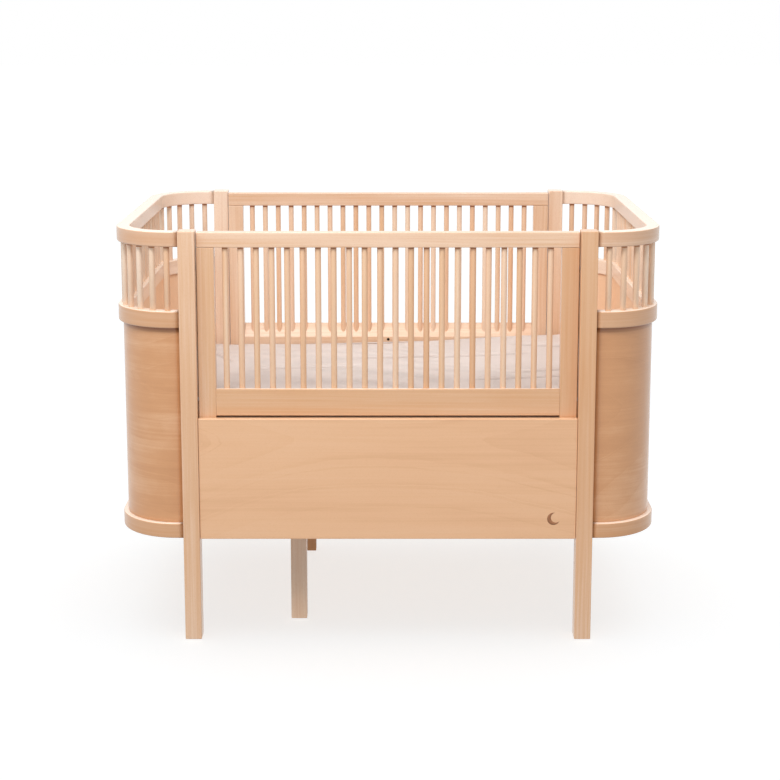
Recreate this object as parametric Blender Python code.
"""Baby crib with rounded ends and a drop side. Metres, +Z up, length along X, the drop side faces -Y."""

import math

import bmesh
import bpy
from mathutils import Matrix

# Overall size
LENGTH = 1.154
WIDTH = 0.774
HEIGHT = 0.880
GAP = 0.0003  # clearance between pieces that touch

# Posts
POST_X = 0.4155  # centre
POST_WIDE = 0.035
POST_DEEP = 0.039
POST_INNER = POST_X - POST_WIDE / 2
POST_OUTER = POST_X + POST_WIDE / 2
HOLE_TOP = 0.338
HOLE_STEP = 0.050
HOLE_DIAMETER = 0.008
HOLE_DEEP = 0.012

# Bent ends: each rail runs from post to post round two corners
RAIL_Y = WIDTH / 2 - 0.0055  # outer face beside the posts
CORNER_R = 0.130
RAIL_THICK = 0.028
TOP_RAIL = (0.8467, 0.8785)
MID_RAIL = (0.6763, 0.7115)
BOTTOM_RAIL = (0.2233, 0.2554)
END_PANEL_INSET = 0.010
END_PANEL_THICK = 0.012
END_SLATS = 27
END_SLAT_MARGIN = 0.025  # from a post's outer face to the first slat's centre

# Drop side and rear side
SIDE_HALF = POST_INNER - 0.0015
SIDE_RECESS = 0.0185  # outer face behind the posts' outer face
SIDE_THICK = 0.025
SIDE_Y = WIDTH / 2 - SIDE_RECESS - SIDE_THICK / 2
STILE_WIDE = 0.036
STILE_BOTTOM = 0.4800
SIDE_TOP_RAIL = (0.8438, 0.8757)
SIDE_BOTTOM_RAIL = (0.4868, 0.5446)
SLOPE_FOOT = 0.5125  # where the bottom rail's sloped inner edge starts
SLOPE_FLAT = 0.008
SIDE_SLATS = 22
SIDE_PITCH = 0.0322
SLAT_DIAMETER = 0.0126
BORE_DEEP = 0.010
CENTRE_HOLE = (0.007, 0.010, SLOPE_FOOT - 0.0065)  # diameter, depth, height

# Guide pins of the drop side and the grooves they run in
PIN_DIAMETER = 0.008
PIN_Y = -SIDE_Y - 0.0015
PIN_SPAN = (SIDE_HALF - 0.0145, POST_INNER + 0.0085)
PIN_HEIGHTS = (0.520, 0.800)
DROP = 0.200
GROOVE_WIDE = 0.0086
GROOVE_FLOOR = POST_INNER + 0.0105

# Flat panels below the drop side and the rear side
PANEL_Y = WIDTH / 2 - 0.003
PANEL_THICK = 0.0145
PANEL_HALF = POST_INNER - GAP
PANEL = (0.2223, 0.4838)

# Mattress base, mattress and middle legs
BOARD = (0.3820, 0.3940)
BOARD_HALF_X = LENGTH / 2 - RAIL_THICK - 0.0065
BOARD_HALF_Y = SIDE_Y - SIDE_THICK / 2 - 0.0055
BOARD_CORNER = 0.094
BOARD_SLOT = (0.110, 0.018)
BEARER_HALF = 0.490
BEARER_Y = 0.3120
BEARER_THICK = 0.024
BEARER = (0.3520, BOARD[0] - GAP)
SUPPORT = (0.3250, BEARER[0] - GAP)
MATTRESS = (0.3945, 0.4945)
MATTRESS_HALF_X = BOARD_HALF_X + 0.0005
MATTRESS_HALF_Y = BOARD_HALF_Y + 0.0005
MATTRESS_CORNER = 0.096
LEG_X = -0.196
LEG_WIDE = 0.035
LEG_DEEP = 0.030
LEG_Y = (-0.2485, 0.215)
BEAM = (0.3420, BOARD[0] - GAP)

BEECH = ("beech", (0.78, 0.58, 0.42), 0.45)
BEECH_PLY = ("beech_ply", (0.74, 0.52, 0.35), 0.42)
BOARD_PLY = ("board_ply", (0.76, 0.62, 0.46), 0.55)
STEEL = ("pin_steel", (0.62, 0.62, 0.63), 0.30)
COVER = ("mattress_cover", (0.84, 0.81, 0.80), 0.90)


def clear_scene():
    for obj in list(bpy.data.objects):
        bpy.data.objects.remove(obj, do_unlink=True)


def material(kind):
    """The Principled material of a kind, made once."""
    name, colour, roughness = kind
    found = bpy.data.materials.get(name)
    if found:
        return found
    made = bpy.data.materials.new(name)
    made.use_nodes = True
    shader = made.node_tree.nodes["Principled BSDF"]
    shader.inputs["Base Color"].default_value = (*colour, 1.0)
    shader.inputs["Roughness"].default_value = roughness
    shader.inputs["Metallic"].default_value = 1.0 if kind is STEEL else 0.0
    return made


def add(name, bm, kind, parent=None):
    """Turns a bmesh in world coordinates into a named object."""
    bmesh.ops.recalc_face_normals(bm, faces=bm.faces)
    mesh = bpy.data.meshes.new(name)
    bm.to_mesh(mesh)
    bm.free()
    mesh.materials.append(material(kind))
    obj = bpy.data.objects.new(name, mesh)
    bpy.context.scene.collection.objects.link(obj)
    if parent:
        obj.parent = parent
        obj.matrix_parent_inverse = Matrix.Translation(-parent.location)
    return obj


def cut(obj, cutter, operation="DIFFERENCE"):
    """Applies one exact boolean as a modifier, and hides its operand."""
    cutter.hide_render = True
    cutter.display_type = "WIRE"
    modifier = obj.modifiers.new(operation.title(), "BOOLEAN")
    modifier.operation = operation
    modifier.solver = "EXACT"
    modifier.object = cutter


def box_mesh(xs, ys, zs, bevel=0.0, segments=2):
    bm = bmesh.new()
    bmesh.ops.create_cube(bm, size=1.0)
    for vert in bm.verts:
        vert.co.x = min(xs) if vert.co.x < 0 else max(xs)
        vert.co.y = min(ys) if vert.co.y < 0 else max(ys)
        vert.co.z = min(zs) if vert.co.z < 0 else max(zs)
    if bevel:
        bmesh.ops.bevel(bm, geom=bm.edges[:], offset=bevel, segments=segments, profile=0.5, affect="EDGES")
    return bm


def add_rod(bm, centre, radius, length, axis, sides=14):
    """Adds a closed cylinder to a bmesh, centred on a point, along X, Y or Z."""
    turn = {"X": Matrix.Rotation(math.pi / 2, 4, "Y"), "Y": Matrix.Rotation(math.pi / 2, 4, "X"), "Z": Matrix()}
    place = Matrix.Translation(centre) @ turn[axis]
    bmesh.ops.create_cone(
        bm, cap_ends=True, segments=sides, radius1=radius, radius2=radius, depth=length, matrix=place
    )


def rods(name, centres, radius, length, axis, kind, sides=14):
    bm = bmesh.new()
    for centre in centres:
        add_rod(bm, centre, radius, length, axis, sides)
    return add(name, bm, kind)


def end_path(inset, sign, steps=9):
    """Plan points of a bent end from the front post to the rear post, at an inset from its outer face."""
    radius = CORNER_R - inset
    centre_x = LENGTH / 2 - CORNER_R
    centre_y = RAIL_Y - CORNER_R
    start = POST_OUTER + GAP
    points = [(sign * start, -centre_y - radius)]
    for corner, first in ((-centre_y, -math.pi / 2), (centre_y, 0.0)):
        for step in range(steps + 1):
            angle = first + step * math.pi / 2 / steps
            points.append((sign * (centre_x + radius * math.cos(angle)), corner + radius * math.sin(angle)))
    points.append((sign * start, centre_y + radius))
    return points


def bent_mesh(sign, insets, heights, chamfer):
    """A strip swept round one end. Its section is a rectangle with small chamfers."""
    near, far = insets
    low, high = heights
    section = [
        (near, low + chamfer),
        (near, high - chamfer),
        (near + chamfer, high),
        (far - chamfer, high),
        (far, high - chamfer),
        (far, low + chamfer),
        (far - chamfer, low),
        (near + chamfer, low),
    ]
    bm = bmesh.new()
    rings = [[bm.verts.new((x, y, z)) for x, y in end_path(inset, sign)] for inset, z in section]
    for ring, following in zip(rings, rings[1:] + rings[:1]):
        for k in range(len(ring) - 1):
            bm.faces.new((ring[k], ring[k + 1], following[k + 1], following[k]))
    for k in (0, -1):
        bm.faces.new([ring[k] for ring in rings])
    return bm


def along_end(distance, inset):
    """The plan point at a distance from the front post along an end, for the side at positive X."""
    radius = CORNER_R - inset
    run_out = LENGTH / 2 - CORNER_R - POST_OUTER
    straight = 2 * (RAIL_Y - CORNER_R)
    bend = radius * math.pi / 2
    whole = 2 * (run_out + bend) + straight
    mirrored = distance > whole / 2
    reach = whole - distance if mirrored else distance
    centre_x = LENGTH / 2 - CORNER_R
    centre_y = RAIL_Y - CORNER_R
    if reach < run_out:
        x, y = POST_OUTER + reach, -centre_y - radius
    elif reach < run_out + bend:
        angle = (reach - run_out) / radius
        x, y = centre_x + radius * math.sin(angle), -centre_y - radius * math.cos(angle)
    else:
        x, y = centre_x + radius, -centre_y + reach - run_out - bend
    return x, -y if mirrored else y


def end_slat_places():
    """Plan centres of one end's slats, evenly spaced along the middle of its rails."""
    inset = RAIL_THICK / 2
    whole = 2 * (LENGTH / 2 - CORNER_R - POST_OUTER + (CORNER_R - inset) * math.pi / 2) + 2 * (RAIL_Y - CORNER_R)
    pitch = (whole - 2 * END_SLAT_MARGIN) / (END_SLATS - 1)
    return [along_end(END_SLAT_MARGIN + k * pitch, inset) for k in range(END_SLATS)]


def end(side, sign):
    """One rounded end: top rail with its slats, middle rail, plywood panel and bottom rail."""
    rail = (0.0, RAIL_THICK)
    top = add(f"end_top_rail_{side}", bent_mesh(sign, rail, TOP_RAIL, 0.003), BEECH)
    foot = MID_RAIL[1] + GAP
    length = TOP_RAIL[0] + 0.008 - foot
    centres = [(sign * x, y, foot + length / 2) for x, y in end_slat_places()]
    cut(top, rods(f"slats_{side}", centres, SLAT_DIAMETER / 2, length, "Z", BEECH), "UNION")
    add(f"end_mid_rail_{side}", bent_mesh(sign, rail, MID_RAIL, 0.003), BEECH)
    add(f"end_bottom_rail_{side}", bent_mesh(sign, rail, BOTTOM_RAIL, 0.003), BEECH)
    skin = (END_PANEL_INSET, END_PANEL_INSET + END_PANEL_THICK)
    add(f"end_panel_{side}", bent_mesh(sign, skin, (BOTTOM_RAIL[1] + GAP, MID_RAIL[0] - GAP), 0.0005), BEECH_PLY)


def post(name, sign_x, sign_y):
    """A square post with four height holes. The front ones have a groove for the drop side's pins."""
    face = WIDTH / 2 - POST_DEEP
    ys = (sign_y * face, sign_y * WIDTH / 2)
    xs = (sign_x * POST_INNER, sign_x * POST_OUTER)
    body = add(name, box_mesh(xs, ys, (0.0, HEIGHT), 0.002), BEECH)
    holes = [
        (sign_x * POST_X, sign_y * (face + HOLE_DEEP / 2 - 0.001), HOLE_TOP - k * HOLE_STEP) for k in range(4)
    ]
    cut(body, rods(f"{name}_holes", holes, HOLE_DIAMETER / 2, HOLE_DEEP + 0.002, "Y", BEECH, 12))
    if sign_y < 0:
        reach = PIN_DIAMETER / 2 + GAP
        zs = (PIN_HEIGHTS[0] - DROP - reach, PIN_HEIGHTS[1] + reach)
        wide = (PIN_Y - GROOVE_WIDE / 2, PIN_Y + GROOVE_WIDE / 2)
        deep = (sign_x * (POST_INNER - 0.002), sign_x * GROOVE_FLOOR)
        cut(body, add(f"{name}_groove", box_mesh(deep, wide, zs), BEECH))


def slat_xs():
    return [(k - (SIDE_SLATS - 1) / 2) * SIDE_PITCH for k in range(SIDE_SLATS)]


def rail_bores(name, sign_y, low, high):
    """Cutters for the holes that hold a side's slats."""
    centres = [(x, sign_y * SIDE_Y, (low + high) / 2) for x in slat_xs()]
    return rods(name, centres, SLAT_DIAMETER / 2 + GAP, high - low, "Z", BEECH)


def sloped_rail(name, sign_y, parent):
    """Bottom rail of a side. Its inner top edge slopes, so nothing can rest on it."""
    outer = sign_y * (SIDE_Y + SIDE_THICK / 2)
    inner = sign_y * (SIDE_Y - SIDE_THICK / 2)
    low, high = SIDE_BOTTOM_RAIL
    chamfer = 0.0015
    section = [
        (outer - sign_y * chamfer, low),
        (outer, low + chamfer),
        (outer, high - chamfer),
        (outer - sign_y * chamfer, high),
        (outer - sign_y * SLOPE_FLAT, high),
        (inner, SLOPE_FOOT),
        (inner, low + chamfer),
        (inner + sign_y * chamfer, low),
    ]
    half = SIDE_HALF - STILE_WIDE - GAP
    bm = bmesh.new()
    ends = [[bm.verts.new((x, y, z)) for y, z in section] for x in (-half, half)]
    for k in range(len(section)):
        follow = (k + 1) % len(section)
        bm.faces.new((ends[0][k], ends[0][follow], ends[1][follow], ends[1][k]))
    for ring in ends:
        bm.faces.new(ring)
    rail = add(name, bm, BEECH, parent)
    cut(rail, rail_bores(f"{name}_bores", sign_y, SLOPE_FOOT - BORE_DEEP, high + 0.002))
    diameter, deep, height = CENTRE_HOLE
    mouth = inner + sign_y * (deep / 2 - 0.001)
    cut(rail, rods(f"{name}_hole", [(0.0, mouth, height)], diameter / 2, deep + 0.002, "Y", BEECH))


def side_frame(prefix, sign_y, parent=None):
    """Two stiles and the sloped bottom rail of the drop side or the rear side."""
    ys = (sign_y * (SIDE_Y - SIDE_THICK / 2), sign_y * (SIDE_Y + SIDE_THICK / 2))
    for label, sign_x in (("left", -1), ("right", 1)):
        xs = (sign_x * (SIDE_HALF - STILE_WIDE), sign_x * SIDE_HALF)
        stile = add(
            f"{prefix}_stile_{label}",
            box_mesh(xs, ys, (STILE_BOTTOM, SIDE_TOP_RAIL[0] - GAP), 0.0015, 1),
            BEECH,
            parent,
        )
        if parent:
            reach = PIN_SPAN[0] - 0.002
            centres = [(sign_x * (reach + 0.012), PIN_Y, z) for z in PIN_HEIGHTS]
            bores = rods(f"{prefix}_bores_{label}", centres, PIN_DIAMETER / 2 + GAP, 0.024, "X", BEECH)
            cut(stile, bores)
    sloped_rail(f"{prefix}_bottom_rail", sign_y, parent)


def drop_side(carrier):
    """The front gate: it slides down on four pins, and its slats are separate dowels in drilled rails."""
    side_frame("gate", -1, carrier)
    ys = (-SIDE_Y - SIDE_THICK / 2, -SIDE_Y + SIDE_THICK / 2)
    top = add("gate_top_rail", box_mesh((-SIDE_HALF, SIDE_HALF), ys, SIDE_TOP_RAIL, 0.002), BEECH, carrier)
    head = SIDE_TOP_RAIL[0] + BORE_DEEP
    cut(top, rail_bores("gate_top_bores", -1, SIDE_TOP_RAIL[0] - 0.002, head))
    foot = SLOPE_FOOT - BORE_DEEP + GAP
    tip = head - GAP
    for k, x in enumerate(slat_xs(), 1):
        bm = bmesh.new()
        add_rod(bm, (x, -SIDE_Y, (foot + tip) / 2), SLAT_DIAMETER / 2, tip - foot, "Z")
        add(f"gate_slat_{k:02d}", bm, BEECH, carrier)
    for label, sign_x in (("left", -1), ("right", 1)):
        for level, z in zip(("lower", "upper"), PIN_HEIGHTS):
            bm = bmesh.new()
            middle = sign_x * sum(PIN_SPAN) / 2
            add_rod(bm, (middle, PIN_Y, z), PIN_DIAMETER / 2, PIN_SPAN[1] - PIN_SPAN[0], "X")
            add(f"gate_pin_{level}_{label}", bm, STEEL, carrier)


def rear_side():
    """The fixed side: the same frame, with its slats in one piece with the top rail."""
    side_frame("rear", 1)
    ys = (SIDE_Y - SIDE_THICK / 2, SIDE_Y + SIDE_THICK / 2)
    top = add("rear_top_rail", box_mesh((-SIDE_HALF, SIDE_HALF), ys, SIDE_TOP_RAIL, 0.002), BEECH)
    foot = SLOPE_FOOT - BORE_DEEP + GAP
    length = SIDE_TOP_RAIL[0] + 0.008 - foot
    centres = [(x, SIDE_Y, foot + length / 2) for x in slat_xs()]
    cut(top, rods("rear_slats", centres, SLAT_DIAMETER / 2, length, "Z", BEECH), "UNION")


def panels():
    for label, sign_y in (("front", -1), ("rear", 1)):
        ys = (sign_y * (PANEL_Y - PANEL_THICK), sign_y * PANEL_Y)
        add(f"{label}_panel", box_mesh((-PANEL_HALF, PANEL_HALF), ys, PANEL, 0.0015, 1), BEECH_PLY)


def rounded_slab(half_x, half_y, corner, heights, edge, steps=6):
    """A flat rounded rectangle with its top and bottom edges rounded over."""
    low, high = heights
    levels = [(edge, low), (edge * 0.3, low + edge * 0.3), (0.0, low + edge)]
    levels += [(0.0, high - edge), (edge * 0.3, high - edge * 0.3), (edge, high)]
    bm = bmesh.new()
    rings = []
    for inset, z in levels:
        ring = []
        for quarter in range(4):
            sign_x = 1 if quarter in (0, 3) else -1
            sign_y = 1 if quarter < 2 else -1
            for step in range(steps + 1):
                angle = (quarter + step / steps) * math.pi / 2
                x = sign_x * (half_x - corner) + (corner - inset) * math.cos(angle)
                y = sign_y * (half_y - corner) + (corner - inset) * math.sin(angle)
                ring.append(bm.verts.new((x, y, z)))
        rings.append(ring)
    for ring, following in zip(rings, rings[1:]):
        for k in range(len(ring)):
            nxt = (k + 1) % len(ring)
            bm.faces.new((ring[k], ring[nxt], following[nxt], following[k]))
    bm.faces.new(rings[0])
    bm.faces.new(rings[-1])
    return bm


def base():
    """Plywood board with air slots, two bearers under it and a support on each post."""
    board = add("base_board", rounded_slab(BOARD_HALF_X, BOARD_HALF_Y, BOARD_CORNER, BOARD, 0.001), BOARD_PLY)
    slots = bmesh.new()
    for column in range(5):
        for row in range(5):
            place = Matrix.Translation(((column - 2) * 0.185, (row - 2) * 0.100, sum(BOARD) / 2))
            size = Matrix.Diagonal((BOARD_SLOT[0], BOARD_SLOT[1], 0.030, 1.0))
            bmesh.ops.create_cube(slots, size=1.0, matrix=place @ size)
    cut(board, add("base_slots", slots, BOARD_PLY))
    for label, sign_y in (("front", -1), ("rear", 1)):
        ys = (sign_y * (BEARER_Y - BEARER_THICK / 2), sign_y * (BEARER_Y + BEARER_THICK / 2))
        add(f"base_bearer_{label}", box_mesh((-BEARER_HALF, BEARER_HALF), ys, BEARER, 0.0015, 1), BEECH)
        for side, sign_x in (("left", -1), ("right", 1)):
            xs = (sign_x * (POST_INNER + 0.002), sign_x * (POST_OUTER - 0.002))
            reach = (sign_y * (WIDTH / 2 - POST_DEEP - GAP), sign_y * (BEARER_Y - BEARER_THICK / 2))
            add(f"support_{label}_{side}", box_mesh(xs, reach, SUPPORT, 0.0015, 1), BEECH)


def middle_legs():
    """Two short legs and the cross beam that holds the board up left of its centre."""
    xs = (LEG_X - LEG_WIDE / 2, LEG_X + LEG_WIDE / 2)
    for label, y in zip(("front", "rear"), LEG_Y):
        ys = (y - LEG_DEEP / 2, y + LEG_DEEP / 2)
        add(f"middle_leg_{label}", box_mesh(xs, ys, (0.0, BEAM[0] - GAP), 0.002), BEECH)
    reach = BEARER_Y - BEARER_THICK / 2 - 0.004
    add("middle_beam", box_mesh(xs, (-reach, reach), BEAM, 0.0015, 1), BEECH)


def main():
    clear_scene()
    carrier = bpy.data.objects.new("gate_slide", None)
    carrier.location = (0.0, -SIDE_Y, SIDE_BOTTOM_RAIL[0])
    bpy.context.scene.collection.objects.link(carrier)
    for name, sign_x, sign_y in (
        ("post_front_left", -1, -1),
        ("post_front_right", 1, -1),
        ("post_rear_left", -1, 1),
        ("post_rear_right", 1, 1),
    ):
        post(name, sign_x, sign_y)
    end("left", -1)
    end("right", 1)
    drop_side(carrier)
    rear_side()
    panels()
    base()
    middle_legs()
    slab = rounded_slab(MATTRESS_HALF_X, MATTRESS_HALF_Y, MATTRESS_CORNER, MATTRESS, 0.014)
    add("mattress", slab, COVER)


main()
